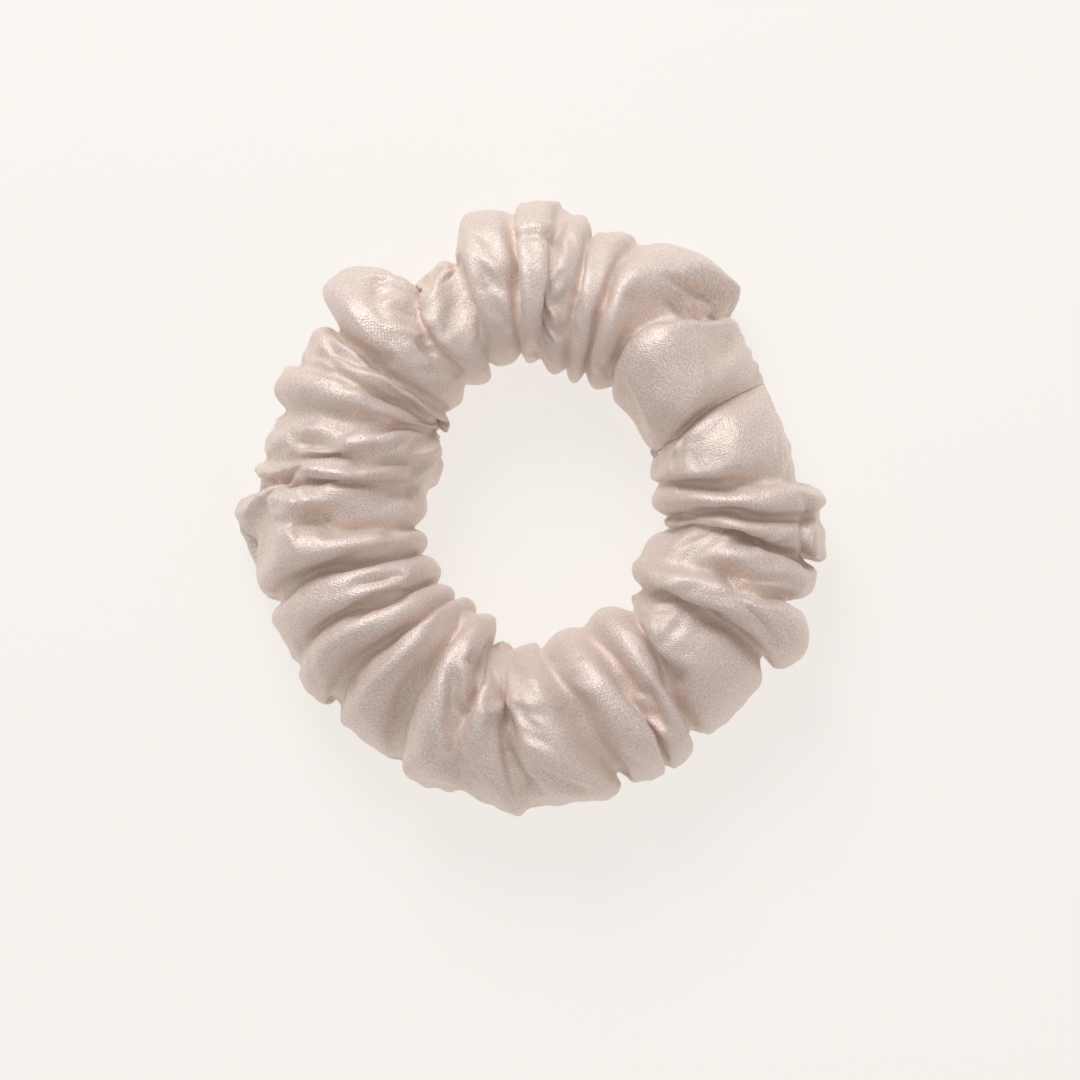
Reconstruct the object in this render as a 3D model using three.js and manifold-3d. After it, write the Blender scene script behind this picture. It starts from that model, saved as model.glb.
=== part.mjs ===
// A satin hair scrunchie, lying flat: one strip of satin sewn into a long tube and gathered onto a loop of
// flat elastic, with the tube's two ends sewn to each other. Millimetres, +Z up. The origin is the centre
// of the ring, on the surface that it lies on.
import * as THREE from "three";
import { mergeVertices } from "three/addons/utils/BufferGeometryUtils.js";
import Module from "manifold-3d";

const wasm = await Module();
wasm.setup();
const { degToRad, radToDeg, smoothstep, clamp } = THREE.MathUtils;

// --- driving dimensions, in millimetres and degrees ---
const OUTER_RADIUS = 46.5; // of the ring, at the ridges of the gathers
const HOLE_RADIUS = 19; // of the opening for the hair, before it is made oval
const HOLE_HALF_WIDTH = 17.6; // of the oval opening, along X
const HOLE_HALF_LENGTH = 21.2; // along Y
const HOLE_OFFSET = 2.4; // the oval opening's centre lies this far towards +X
const HEIGHT = 22;
const FLAT_BOTTOM = 9; // width of the band that rests on the table
const CLOTH = 0.4; // thickness of the satin
const GATHERS = 22;
const GATHER_DEPTH = 0.17; // as a share of the section's own size
const SEAM_ALLOWANCE = 6; // width of each raw edge, turned inwards
const SEAM_GAP = 0.4; // between the two raw edges
const THREAD = 0.5; // diameter
const GAP = 0.3; // kept between pieces that touch
const ELASTIC_WIDTH = 6;
const ELASTIC_THICKNESS = 1;
const ELASTIC_RADIUS = 25.4; // of the middle of the inner lap
const ELASTIC_LAP = 34; // degrees of the ring where the elastic's ends lie on each other
const CLOSING_ANGLE = 29; // degrees from +X towards +Y, where the ends of the tube meet
const CLOSING_SLIT = 0.4; // between the ends of the tube
const SEAM_STITCHES = 24;
const CLOSING_STITCHES = 9;
const LAP_STITCHES = 9;

// --- how finely the shapes are drawn ---
const STEPS_PER_GATHER = 4;
const STEPS_OVER_TOP = 10; // of the section, from the seam over the top to the flat bottom
const STEPS_UNDER_SEAM = 3; // and from the flat bottom up to the seam
const STEPS_PER_STITCH = 8;
const THREAD_SIDES = 5;
const ELASTIC_STEP = 6; // degrees

// --- what follows from them ---
const HALF_WIDTH = (OUTER_RADIUS - HOLE_RADIUS) / 2;
const CENTRE_RADIUS = (OUTER_RADIUS + HOLE_RADIUS) / 2;
// The section is an ellipse whose lowest part is pressed flat, FLAT_BOTTOM wide, by the table.
const FLAT_ANGLE = Math.asin(FLAT_BOTTOM / 2 / HALF_WIDTH);
const HALF_HEIGHT = HEIGHT / (1 + Math.cos(FLAT_ANGLE));
const MIDDLE_Z = HEIGHT - HALF_HEIGHT;
const SEAM_CORNER = 7; // degrees of the section that the seam takes up, each way
const STITCH_LINE_RADIUS = OUTER_RADIUS - 3.6; // the lengthwise seam's thread runs here
const NEEDLE_HOLE = THREAD + 2 * GAP; // width of a hole, across the stitch
const SATIN = { color: 0xe6d7cc, roughness: 0.4, metalness: 0 };
const ELASTIC = { color: 0xeae6df, roughness: 0.8, metalness: 0 };
const SEWING_THREAD = { color: 0xe2d5c8, roughness: 0.6, metalness: 0 };

// --- helpers ---

// A closed geometry as a manifold-3d solid.
function solidOf(geometry) {
  const bare = geometry.clone();
  bare.deleteAttribute("normal");
  bare.deleteAttribute("uv");
  const merged = mergeVertices(bare, 1e-4);
  const vertProperties = new Float32Array(merged.attributes.position.array);
  const triVerts = new Uint32Array(merged.index.array);
  return new wasm.Manifold(new wasm.Mesh({ numProp: 3, vertProperties, triVerts }));
}

function geometryOf(solid) {
  const mesh = solid.getMesh();
  const geometry = new THREE.BufferGeometry();
  geometry.setAttribute("position", new THREE.BufferAttribute(mesh.vertProperties.slice(), 3));
  geometry.setIndex(new THREE.BufferAttribute(mesh.triVerts.slice(), 1));
  return geometry;
}

// A geometry with boxes cut out of it. Each hole is [size along x, y and z, matrix].
function withHoles(geometry, holes) {
  let solid = solidOf(geometry);
  for (const [size, matrix] of holes) {
    const box = new THREE.BoxGeometry(...size).applyMatrix4(matrix);
    solid = solid.subtract(solidOf(box));
  }
  return geometryOf(solid);
}

// Moves a point to the radius and height that a function of its angle, radius and height gives.
function movePoint(point, move) {
  const angle = Math.atan2(point.y, point.x);
  const [radius, z] = move(angle, Math.hypot(point.x, point.y), point.z);
  return point.set(radius * Math.cos(angle), radius * Math.sin(angle), z);
}

function reshape(geometry, move) {
  const position = geometry.attributes.position;
  const point = new THREE.Vector3();
  for (let i = 0; i < position.count; i++) {
    movePoint(point.fromBufferAttribute(position, i), move);
    position.setXYZ(i, point.x, point.y, point.z);
  }
  return geometry;
}

function onRing(degrees, radius, z) {
  const angle = degToRad(degrees);
  return new THREE.Vector3(radius * Math.cos(angle), radius * Math.sin(angle), z);
}

// The axes at an angle round the ring: outwards, along the ring, and up.
function ringAxes(degrees) {
  return [onRing(degrees, 1, 0), onRing(degrees + 90, 1, 0), new THREE.Vector3(0, 0, 1)];
}

function placedAt(point, axes) {
  return new THREE.Matrix4().makeBasis(...axes).setPosition(point);
}

// A curve given by a function, sampled evenly in its own parameter, so that steps meet stitches.
class PointCurve extends THREE.Curve {
  constructor(pointAt) {
    super();
    this.pointAt = pointAt;
  }
  getPoint(t, target = new THREE.Vector3()) {
    return target.copy(this.pointAt(t));
  }
  getUtoTmapping(u) {
    return u;
  }
}

function threadAlong(pointAt, steps) {
  const section = new THREE.Shape();
  section.absarc(0, 0, THREAD / 2, 0, 2 * Math.PI);
  const corners = section.getPoints(THREAD_SIDES).slice(0, THREAD_SIDES);
  const options = { steps, extrudePath: new PointCurve(pointAt), bevelEnabled: false };
  return new THREE.ExtrudeGeometry(new THREE.Shape(corners), options);
}

// A running stitch's wave: it changes sides at each whole number, and lies flat in between.
function stitchWave(t) {
  return clamp(5 * Math.sin(Math.PI * t), -1, 1);
}

// --- the shape that the gathers and the hair's opening give to the round tube ---

// Pinches the section between one gather's ridge and the next. The underside stays flat.
function gather(angle, radius, z) {
  const phase = ((radToDeg(angle) - CLOSING_ANGLE) * GATHERS) / 360;
  const valley = ((1 - Math.cos(2 * Math.PI * phase)) / 2) ** 2;
  const [x, y] = [radius - CENTRE_RADIUS, z - MIDDLE_Z];
  const distance = Math.hypot(x / HALF_WIDTH, y / HALF_HEIGHT);
  const pinch = valley * smoothstep(distance, 0.35, 1) * smoothstep(z, 0.5, 5);
  const scale = 1 - GATHER_DEPTH * pinch;
  return [CENTRE_RADIUS + x * scale, MIDDLE_Z + y * scale];
}

// Distance from the origin to the edge of the oval opening.
function holeEdge(angle) {
  const [c, s] = [Math.cos(angle) / HOLE_HALF_WIDTH, Math.sin(angle) / HOLE_HALF_LENGTH];
  const offset = HOLE_OFFSET / HOLE_HALF_WIDTH;
  const a = c * c + s * s;
  const b = c * offset;
  return (b + Math.sqrt(b * b + a * (1 - offset * offset))) / a;
}

// Turns the round opening into the oval one, and leaves the outer edge where it is.
function makeOval(angle, radius, z) {
  const share = (OUTER_RADIUS - holeEdge(angle)) / (OUTER_RADIUS - HOLE_RADIUS);
  return [OUTER_RADIUS - (OUTER_RADIUS - radius) * share, z];
}

function gatherAndMakeOval(angle, radius, z) {
  return makeOval(angle, ...gather(angle, radius, z));
}

// --- the satin cover ---

// [radius, z] on the section: 0 is its outermost point and 90 its top. inset lies inside the outer face.
function sectionPoint(degrees, inset) {
  const angle = degToRad(degrees);
  const radius = CENTRE_RADIUS + (HALF_WIDTH - inset) * Math.cos(angle);
  const z = MIDDLE_Z + (HALF_HEIGHT - inset) * Math.sin(angle);
  return [radius, Math.max(inset, z)];
}

// The satin in section: round the tube, and in along both seam allowances, which leave a slit between them.
function satinSection() {
  const flat = radToDeg(FLAT_ANGLE);
  const arc = (from, to, steps, inset) =>
    Array.from({ length: steps + 1 }, (_, i) => sectionPoint(from + ((to - from) * i) / steps, inset));
  const round = (inset) => [
    ...arc(SEAM_CORNER, 270 - flat, STEPS_OVER_TOP, inset),
    ...arc(270 + flat, 360 - SEAM_CORNER, STEPS_UNDER_SEAM, inset),
  ];
  const edge = (side, inset, depth) => [OUTER_RADIUS - depth, MIDDLE_Z + side * (SEAM_GAP / 2 + inset)];
  const bend = 0.4; // where the satin turns from the tube into the seam allowance
  return [
    edge(1, 0, SEAM_ALLOWANCE),
    edge(1, 0, bend),
    ...round(0),
    edge(-1, 0, bend),
    edge(-1, 0, SEAM_ALLOWANCE),
    edge(-1, CLOTH, SEAM_ALLOWANCE),
    edge(-1, CLOTH, bend + CLOTH),
    ...round(CLOTH).reverse(),
    edge(1, CLOTH, bend + CLOTH),
    edge(1, CLOTH, SEAM_ALLOWANCE),
  ];
}

function satinCover() {
  const slit = radToDeg(CLOSING_SLIT / CENTRE_RADIUS);
  const path = new PointCurve((t) =>
    onRing(CLOSING_ANGLE + slit / 2 + (360 - slit) * t, CENTRE_RADIUS, 0),
  );
  // Along the path, the extrusion's own x axis points down and its y axis towards the origin.
  const corners = satinSection().map(([radius, z]) => new THREE.Vector2(-z, CENTRE_RADIUS - radius));
  const steps = GATHERS * STEPS_PER_GATHER;
  const tube = new THREE.ExtrudeGeometry(new THREE.Shape(corners), {
    steps,
    extrudePath: path,
    bevelEnabled: false,
  });
  return withHoles(reshape(tube, gatherAndMakeOval), [...seamHoles(), ...closingHoles()]);
}

// --- the lengthwise seam, sewn through both seam allowances ---

const seamAngle = (stitch) => CLOSING_ANGLE + (360 * (stitch + 1)) / (SEAM_STITCHES + 1);

function seamHoles() {
  const size = [NEEDLE_HOLE, 3.8, 4 * CLOTH];
  return Array.from({ length: SEAM_STITCHES }, (_, i) => {
    const angle = seamAngle(i);
    const point = movePoint(onRing(angle, STITCH_LINE_RADIUS, MIDDLE_Z), gatherAndMakeOval);
    return [size, placedAt(point, ringAxes(angle))];
  });
}

function seamThread() {
  const reach = SEAM_GAP / 2 + CLOTH + GAP + THREAD / 2;
  const pointAt = (t) => {
    const stitch = SEAM_STITCHES * t - 0.5;
    return onRing(seamAngle(stitch), STITCH_LINE_RADIUS, MIDDLE_Z + reach * stitchWave(stitch));
  };
  return reshape(threadAlong(pointAt, SEAM_STITCHES * STEPS_PER_STITCH), gatherAndMakeOval);
}

// --- the closing seam, whip-stitched over the slit between the tube's ends, on the side of the opening ---

const CLOSING_FROM = 105; // degrees of the section
const CLOSING_TO = 222;
const CLOSING_REACH = 1.5; // from the slit to the needle holes
const FACET_SAG = 0.1; // how far the section's straight steps lie inside its ellipse, on average

// The middle of the satin at an angle of the section, and the direction out of the tube there.
function closingPoint(degrees) {
  const [radius, z] = sectionPoint(degrees, CLOTH / 2 + FACET_SAG);
  const [out] = ringAxes(CLOSING_ANGLE);
  const angle = degToRad(degrees);
  const normal = out.clone().multiplyScalar(Math.cos(angle) / HALF_WIDTH);
  normal.z = Math.sin(angle) / HALF_HEIGHT;
  return { point: onRing(CLOSING_ANGLE, radius, z), normal: normal.normalize() };
}

const closingDegrees = (turn) => CLOSING_FROM + ((CLOSING_TO - CLOSING_FROM) * turn) / CLOSING_STITCHES;

function closingHoles() {
  const [, along] = ringAxes(CLOSING_ANGLE);
  const side = NEEDLE_HOLE + 2 * GAP;
  const size = [side, 4 * CLOTH, side];
  return Array.from({ length: 2 * CLOSING_STITCHES }, (_, i) => {
    const { point, normal } = closingPoint(closingDegrees(i / 2 + 0.25));
    const sign = i % 2 === 0 ? 1 : -1;
    point.addScaledVector(along, sign * (CLOSING_REACH - GAP / 2));
    movePoint(point, gatherAndMakeOval);
    const across = new THREE.Vector3().crossVectors(along, normal);
    return [size, placedAt(point, [along, normal, across])];
  });
}

function closingThread() {
  const [, along] = ringAxes(CLOSING_ANGLE);
  const reach = CLOTH / 2 + FACET_SAG + GAP + THREAD / 2;
  const pointAt = (t) => {
    const turn = CLOSING_STITCHES * t;
    const { point, normal } = closingPoint(closingDegrees(turn));
    point.addScaledVector(normal, reach * Math.cos(2 * Math.PI * turn));
    return point.addScaledVector(along, CLOSING_REACH * Math.sin(2 * Math.PI * turn));
  };
  return reshape(threadAlong(pointAt, CLOSING_STITCHES * STEPS_PER_STITCH), gatherAndMakeOval);
}

// --- the elastic: one flat strip, its last stretch lapped over its first and sewn to it ---

const LAP_RISE = ELASTIC_THICKNESS + GAP;
const LAP_START = CLOSING_ANGLE - ELASTIC_LAP / 2;
const LAP_STITCH_ANGLE = 3; // from one stitch to the next
const LAP_STITCH_HALF_WIDTH = 1.8; // the zigzag's

const lapAngle = (stitch) => CLOSING_ANGLE + LAP_STITCH_ANGLE * (stitch - (LAP_STITCHES - 1) / 2);
const lapMiddle = ELASTIC_RADIUS + LAP_RISE / 2;

function elasticBand() {
  const outline = [];
  const edge = (side, turned) => {
    const radius = ELASTIC_RADIUS + LAP_RISE * smoothstep(turned, 330, 356) + (side * ELASTIC_THICKNESS) / 2;
    const { x, y } = onRing(LAP_START + turned, radius, 0);
    outline.push(new THREE.Vector2(x, y));
  };
  const last = 360 + ELASTIC_LAP;
  const steps = Math.round(last / ELASTIC_STEP);
  for (let i = 0; i <= steps; i++) edge(1, (last * i) / steps);
  for (let i = steps; i >= 0; i--) edge(-1, (last * i) / steps);
  const strip = new THREE.ExtrudeGeometry(new THREE.Shape(outline), {
    depth: ELASTIC_WIDTH,
    bevelEnabled: false,
  });
  strip.translate(0, 0, MIDDLE_Z - ELASTIC_WIDTH / 2);
  const size = [4 * ELASTIC_THICKNESS, NEEDLE_HOLE + GAP, NEEDLE_HOLE + 0.2];
  const holes = Array.from({ length: LAP_STITCHES }, (_, i) => [
    size,
    placedAt(lapPoint(i, 0), ringAxes(lapAngle(i))),
  ]);
  return reshape(withHoles(strip, holes), makeOval);
}

// A point of the lap's zigzag, offset outwards from the middle of the two layers.
function lapPoint(stitch, offset) {
  const z = MIDDLE_Z + LAP_STITCH_HALF_WIDTH * Math.cos(Math.PI * stitch);
  return onRing(lapAngle(stitch), lapMiddle + offset, z);
}

function lapThread() {
  const reach = (ELASTIC_THICKNESS + LAP_RISE) / 2 + GAP + THREAD / 2;
  const pointAt = (t) => {
    const stitch = LAP_STITCHES * t - 0.5;
    return lapPoint(stitch, reach * stitchWave(stitch));
  };
  return reshape(threadAlong(pointAt, LAP_STITCHES * STEPS_PER_STITCH), makeOval);
}

// --- the assembly ---

function piece(name, geometry, finish) {
  const mesh = new THREE.Mesh(geometry, new THREE.MeshStandardMaterial(finish));
  mesh.name = name;
  return mesh;
}

const scrunchie = new THREE.Group();
scrunchie.add(
  piece("satin_cover", satinCover(), SATIN),
  piece("long_seam_thread", seamThread(), SEWING_THREAD),
  piece("closing_seam_thread", closingThread(), SEWING_THREAD),
  piece("elastic_band", elasticBand(), ELASTIC),
  piece("elastic_lap_thread", lapThread(), SEWING_THREAD),
);

export default scrunchie;
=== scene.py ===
"""A satin hair scrunchie, lying flat. One strip of ivory satin is sewn into a tube and gathered on elastic.

The cover is a cloth simulation that starts from the folds listed below. It is then fitted back to their
sizes, and smaller wrinkles and corners are laid on it.
Lengths are in millimetres until a mesh is made. Angles are in degrees, anticlockwise from +X.
"""

import math

import bpy
import numpy as np
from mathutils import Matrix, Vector


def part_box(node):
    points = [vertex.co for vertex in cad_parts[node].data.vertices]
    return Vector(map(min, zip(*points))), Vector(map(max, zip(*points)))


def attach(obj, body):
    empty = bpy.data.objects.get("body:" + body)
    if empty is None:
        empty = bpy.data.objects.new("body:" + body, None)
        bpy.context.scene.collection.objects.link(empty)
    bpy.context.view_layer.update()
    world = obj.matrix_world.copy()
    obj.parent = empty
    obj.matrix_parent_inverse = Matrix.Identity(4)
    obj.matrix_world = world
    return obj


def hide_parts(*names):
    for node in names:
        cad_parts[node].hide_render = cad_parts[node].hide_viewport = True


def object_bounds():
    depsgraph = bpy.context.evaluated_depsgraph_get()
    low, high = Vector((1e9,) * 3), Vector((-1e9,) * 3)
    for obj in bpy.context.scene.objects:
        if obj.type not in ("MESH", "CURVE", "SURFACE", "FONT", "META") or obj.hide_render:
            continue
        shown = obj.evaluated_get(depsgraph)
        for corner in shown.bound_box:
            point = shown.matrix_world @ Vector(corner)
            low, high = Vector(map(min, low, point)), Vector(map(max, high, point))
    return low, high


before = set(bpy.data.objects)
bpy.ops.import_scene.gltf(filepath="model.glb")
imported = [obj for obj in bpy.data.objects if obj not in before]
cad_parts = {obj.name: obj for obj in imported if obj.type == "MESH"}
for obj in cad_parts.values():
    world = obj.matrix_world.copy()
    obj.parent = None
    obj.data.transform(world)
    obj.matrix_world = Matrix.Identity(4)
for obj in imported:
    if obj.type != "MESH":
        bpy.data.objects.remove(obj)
cad_low, cad_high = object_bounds()

MM = 0.001

# --- the folds ---

# Each row is a crease between two folds, clockwise from the top. First its angle about the opening's centre,
# where it crosses the inner edge, the top, the outer edge and the underside. Then its depth at the same four
# places, and how far its floor leans under the next fold.
CREASES = [
    (107, 110.5, 109, 112, 5, 3.5, 4.5, 4, -0.8),
    (97.5, 99.5, 98, 97, 5, 3.8, 1.2, 4, 0.8),
    (87, 88, 86, 88, 5, 2.2, 1.0, 4, -1.2),
    (81, 83, 80, 80, 5, 3.5, 2.5, 4, 0.5),
    (71, 75, 69, 70, 5, 3, 2.0, 4, -0.5),
    (63, 66, 45, 60, 4, 5, 5, 4, 1.2),
    (24, 30.5, 30, 32, 4, 3.5, 0.3, 3, 0.4),
    (10.5, 6.5, 4, 8, 5, 2.8, 1.5, 3, -0.8),
    (-1.8, -3, -3.5, -3, 4.5, 4, 1.5, 4, -0.3),
    (-10, -10, -15, -12, 5, 5, 3, 4, -1.8),
    (-28, -20, -22, -24, 0, 3.0, 5, 3, 0.8),
    (-41, -34.5, -38, -38, 5, 4.5, 3.5, 4, -2.0),
    (-51, -52, -57, -54, 5, 4.5, 3.5, 4, 1.2),
    (-71.5, -62.5, -64.5, -66, 5, 4.5, 1, 4, 1.0),
    (-85, -81, -73, -77, 5, 4.5, 3.5, 4, 1.2),
    (-99, -100, -93, -95, 5, 4.5, 1.2, 4, 0.8),
    (-109, -113, -106, -110, 5, 4.5, 1, 4, -0.8),
    (-124, -127, -119, -123, 5, 4, 2.5, 4, -0.8),
    (-131, -140, -136, -133, 4, 4, 3, 4, 0.6),
    (-141, -151, -147, -146, 5, 4, 0.5, 4, 0.6),
    (-157, -165, -161, -160, 5, 4, 3, 4, -0.8),
    (-168, -175, -176, -171, 5, 3.2, 1.5, 4, 0.4),
    (-186, -186, -183, -184, 4.5, 2.6, 0.5, 4, 0.8),
    (-194, -194, -192, -193, 1.5, 3, 1, 4, 0.6),
    (-209, -206, -202, -205, 5, 4, 2.5, 4, 1.0),
    (-216, -214, -212, -212, 5, 2.8, 1.5, 4, -0.8),
    (-228, -221, -222, -223, 5, 4.5, 5, 4, -1.0),
    (-238.5, -232, -236, -235, 5, 4.5, 4, 4, 1.2),
]
# The fold that follows each crease: its inner and outer distance from the opening's centre, and its height.
# The distances come from the real outline, measured every 10 degrees, then rounded and adjusted. The
# heights are guesses.
FOLDS = [
    (22.8, 47.0, 21), (22.6, 47.2, 22.5), (20.4, 45.6, 20.5), (19.8, 44.3, 20), (20.0, 45.4, 21.5),
    (19.0, 40.6, 22.5), (17.4, 39.3, 21), (16.6, 42.8, 21.5), (18.8, 44.0, 20), (17.2, 43.6, 20),
    (16.0, 45.6, 23), (19.3, 44.0, 21.5), (18.3, 45.4, 20.5), (19.4, 45.6, 22), (21.4, 46.4, 22),
    (22.0, 47.2, 21), (18.3, 47.2, 22.5), (18.4, 46.2, 21), (19.2, 46.9, 21), (18.8, 45.8, 21),
    (19.0, 46.2, 22), (18.2, 48.2, 20.5), (17.0, 45.0, 21), (16.4, 44.0, 21.5), (20.0, 45.8, 21),
    (18.8, 44.2, 20.5), (20.8, 48.6, 22.5), (21.4, 41.0, 20),
]
# Smaller wrinkles laid on the upper side: depth, half width, and the places that each one passes
# through, as angle and distance from the opening's centre. A negative depth makes a raised pleat.
WRINKLES = [
    (0.6, 0.9, [(97, 41.1), (92, 41.5), (88, 40.9), (85.5, 38.6)]),
    (-0.4, 1.0, [(98, 42.6), (93, 43.3), (87, 43)]),
    (1.1, 0.9, [(88, 25), (89, 29), (87.5, 33), (86, 36)]),
    (0.8, 1.0, [(101, 27), (103.5, 31), (105, 35)]),
    (1.3, 0.9, [(63, 39.6), (57, 40.3), (52, 41.4), (48.5, 42.4)]),
    (-0.7, 0.8, [(60, 38.6), (54, 38.7), (49, 40.3)]),
    (1.4, 1.0, [(60, 37), (54, 36.8), (49.5, 38.3), (46.5, 41)]),
    (0.9, 0.7, [(25.5, 20.5), (28.5, 24), (30.4, 29), (30.2, 34.5)]),
    (0.6, 0.6, [(21, 38.6), (14, 37.6), (7, 37)]),
    (1.5, 1.3, [(8.5, 20.5), (6.8, 25), (4.5, 30)]),
    (1.4, 0.9, [(-4.5, 20), (-5.3, 23.4)]),
    (1.1, 0.9, [(3, 39.6), (-1, 41), (-4.5, 39.8), (-8, 40.2), (-12, 41.3), (-15, 42.6)]),
    (-0.6, 0.8, [(1, 42.6), (-4, 41.6), (-9, 42), (-13, 43)]),
    (1.3, 1.0, [(-17.8, 27), (-19.8, 31.5), (-18.6, 35), (-17, 38.5), (-17.5, 41.5)]),
    (-0.7, 0.8, [(-20.5, 30.5), (-21.2, 34), (-19.6, 38)]),
    (1.5, 1.1, [(-19.2, 28), (-22.8, 32), (-23, 36), (-21, 39.5)]),
    (1.0, 0.9, [(-24.5, 31), (-27, 35), (-29, 38.5), (-30.5, 41.5)]),
    (1.6, 1.4, [(-61, 31.5), (-61.3, 35), (-62.5, 39)]),
    (1.2, 1.0, [(-99, 37.5), (-95, 41.5), (-90.5, 44.2)]),
    (1.1, 1.0, [(-92, 40.2), (-86.5, 42.8), (-80.5, 44.6)]),
    (-0.6, 1.2, [(-107, 33.5), (-102, 31.5), (-98, 29.5)]),
    (1.3, 1.2, [(-117, 25.3), (-112.5, 26.3), (-110, 29)]),
    (-0.8, 1.2, [(-133, 26), (-133.8, 33), (-134, 40)]),
    (0.9, 1.0, [(-127.5, 30), (-128, 35), (-125, 40)]),
    (1.2, 1.0, [(-153, 23.5), (-155.5, 27), (-158, 32)]),
    (1.0, 0.9, [(-149, 25), (-151.5, 29.5), (-152, 34)]),
    (1.2, 0.9, [(-169, 21), (-170.5, 25)]),
    (1.9, 1.5, [(-176.8, 32.5), (-177.3, 36.5), (-176.2, 41.5)]),
    (-0.8, 1.1, [(179, 32), (179, 39), (178.5, 45)]),
    (1.6, 1.2, [(174.8, 20), (173.6, 24.5)]),
    (1.0, 1.2, [(173.6, 33), (174.6, 39), (175.3, 44.5)]),
    (-0.8, 1.1, [(170.5, 29), (171.3, 36), (172.5, 42.5)]),
    (2.2, 1.7, [(164.3, 32), (164.8, 36), (165.6, 41)]),
    (1.1, 0.9, [(139.5, 32.5), (142, 36.5), (143.5, 40), (142, 43)]),
    (1.0, 0.8, [(146.5, 37), (145.6, 41), (147.5, 44)]),
    (1.6, 1.5, [(123.5, 24), (125.5, 28), (127, 32)]),
    (1.0, 1.4, [(126, 43.5), (129.5, 40.5), (130, 36)]),
    (-0.7, 1.1, [(122.5, 32), (124, 38), (125.5, 42.5)]),
    (-0.7, 1.1, [(136, 33), (135.5, 39), (134, 44)]),
]
WRINKLE_RIM = 0.7  # how strongly the cloth rises beside a wrinkle
# Corners where the cloth stands out of the outline: angle, distance from the centre, how far out, half width.
CORNERS = [
    (46.5, 43.5, 2.2, 3.2), (57, 44, 1.0, 5), (107, 46, 1.0, 3), (88, 46, 0.8, 3),
    (137, 47.5, 1.2, 2.6), (149, 44.5, 1.6, 2.4), (143, 44, 0.8, 2), (168, 43, 0.8, 2.5),
    (-94.5, 46, 1.2, 3), (-119, 45, 1.0, 2.4), (1, 42.5, 0.9, 1.8), (-12, 43, 0.8, 2.4),
    (-77, 45, 0.8, 2.4), (-29, 45, 0.8, 3),
]
FLOOR_WIDTH = 0.9  # of a crease
DOME = 2.6  # exponent of a fold's rounded profile: 2 is an ellipse
SECTION = 2.2  # exponent of the tube's section
INNER_DEPTH = 0.55  # share of the listed depth at the inner edge
TOP_DEPTH = 0.8  # share of it at the top
LEAN = 1.6  # times the listed lean
CELL = 0.9  # between grid lines along the tube
AROUND = 92  # grid lines round the tube
PROFILE_STEPS = 160  # across a fold, while its length is measured

# --- the cut ---

TUBE = 84.0  # round the tube
CUT_LENGTH = 366.0  # along the tube
SEAM_ALLOWANCE = 5.0  # at the lengthwise seam

# --- the simulation, which runs ten times life size because the solver's distances have a lower limit ---

SIM_SCALE = 0.01
FRAMES = 22
SUCTION = 0.3
HOLD_RIDGES = 0.05  # how firmly the ridges keep to the chosen folds
HOLD_FLOORS = 0.03
OPENING = (17.6, 22.5)  # half the opening, along X and Y
ELASTIC_INSET = 7.2  # from the opening's edge to the elastic
ELASTIC_HALF = (0.8, 3.0)  # half the elastic's thickness and height
ELASTIC_HEIGHT = 10.7  # of its middle
ELASTIC_CONTACT = 0.3  # how far off the cloth is stopped
TABLE_CONTACT = 2.0
TABLE_DROP = 0.5

# --- smoothing: the shortest wave that stays, in cells ---

KEEP_ALONG = 2.8
KEEP_ROUND = 2.6
KEEP_INSIDE = 7.0
CALM = 24.0  # what is left is the broad shape, without folds
REFINE = 2  # times as many grid lines in the finished cloth
SPREAD = (1.5, 98.5)  # per cent of a fold's points, taken as its size

# --- seams and stitches ---

SEAM_GAP = 0.06
SEAM_GROOVE = 0.3
GROOVE_WIDTH = 1.1
PUCKER = 3.1  # from one pucker to the next
PUCKER_DEPTH = 0.16
PUCKER_REACH = 2.6
STITCH = 2.4
STITCH_LINE = 4.2  # inwards from the seam
SEAM_LEAN = 0.5  # how far the raw edges turn with the cloth, away from the walls of the creases
STEPS_PER_STITCH = 6
THREAD = 0.25  # diameter
THREAD_SIDES = 6
CLOSING_CREASE = 6  # the row of CREASES where the tube's ends meet
CLOSING_GAP = 0.04
CLOSING_REACH = 0.7
CLOSING_LIFT = 0.25
CLOSING_ENDS = (1.4, 0.7, 0.15)  # how deep the tube's ends are turned in
CLOSING_FROM, CLOSING_TO = 165, 225  # degrees of the section, from the outer edge over the top
CLOSING_STITCHES = 9
CLOSING_STEPS = 12

# --- how it lies ---

TOUCH = 0.4  # cloth this near the table is pressed against it
ELASTIC_CLEARANCE = 1.2
ELASTIC_EASE = 0.5  # how gradually the cloth turns aside there
ELASTIC_BIN = 6  # degrees

# --- colours, light and view ---

# Ridge colour: the satin's own. Crease colour: lighter and warmer, a painted glow of light bounced in the
# creases.
SATIN_RIDGE = (0.85, 0.715, 0.665, 1.0)
SATIN_PAINTED_CREASE_GLOW = (0.87, 0.765, 0.65, 1.0)
SATIN_BLUSH = (0.82, 0.675, 0.67, 1.0)
WEAVE_SCALE = 104.0
GRAIN_SCALE = 270.0
FLOOR_COLOUR = (0.25, 0.24, 0.23, 1.0)
FLOOR_SHADE = (0.24, 0.23, 0.22, 1.0)
FLOOR_GLOW_COLOUR = (1.0, 0.96, 0.915, 1.0)
FLOOR_GLOW = 0.735
WORLD_COLOUR = (1.0, 0.98, 0.965, 1.0)
WORLD_STRENGTH = 0.46
LIGHTS = [
    ("key", (-0.15, 0.50, 0.44), 0.36, 2.45, (1.0, 0.98, 0.99)),
    ("fill", (0.5, -0.4, 0.6), 0.8, 0.5, (1.0, 0.97, 0.98)),
]
VIEW_DISTANCE = 0.55
VIEW_WIDTH = 167.4  # of the frame, at half the object's height
VIEW_SHIFT = (1.7, -5.2)


# ---------------------------------------------------------------- meshes

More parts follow.
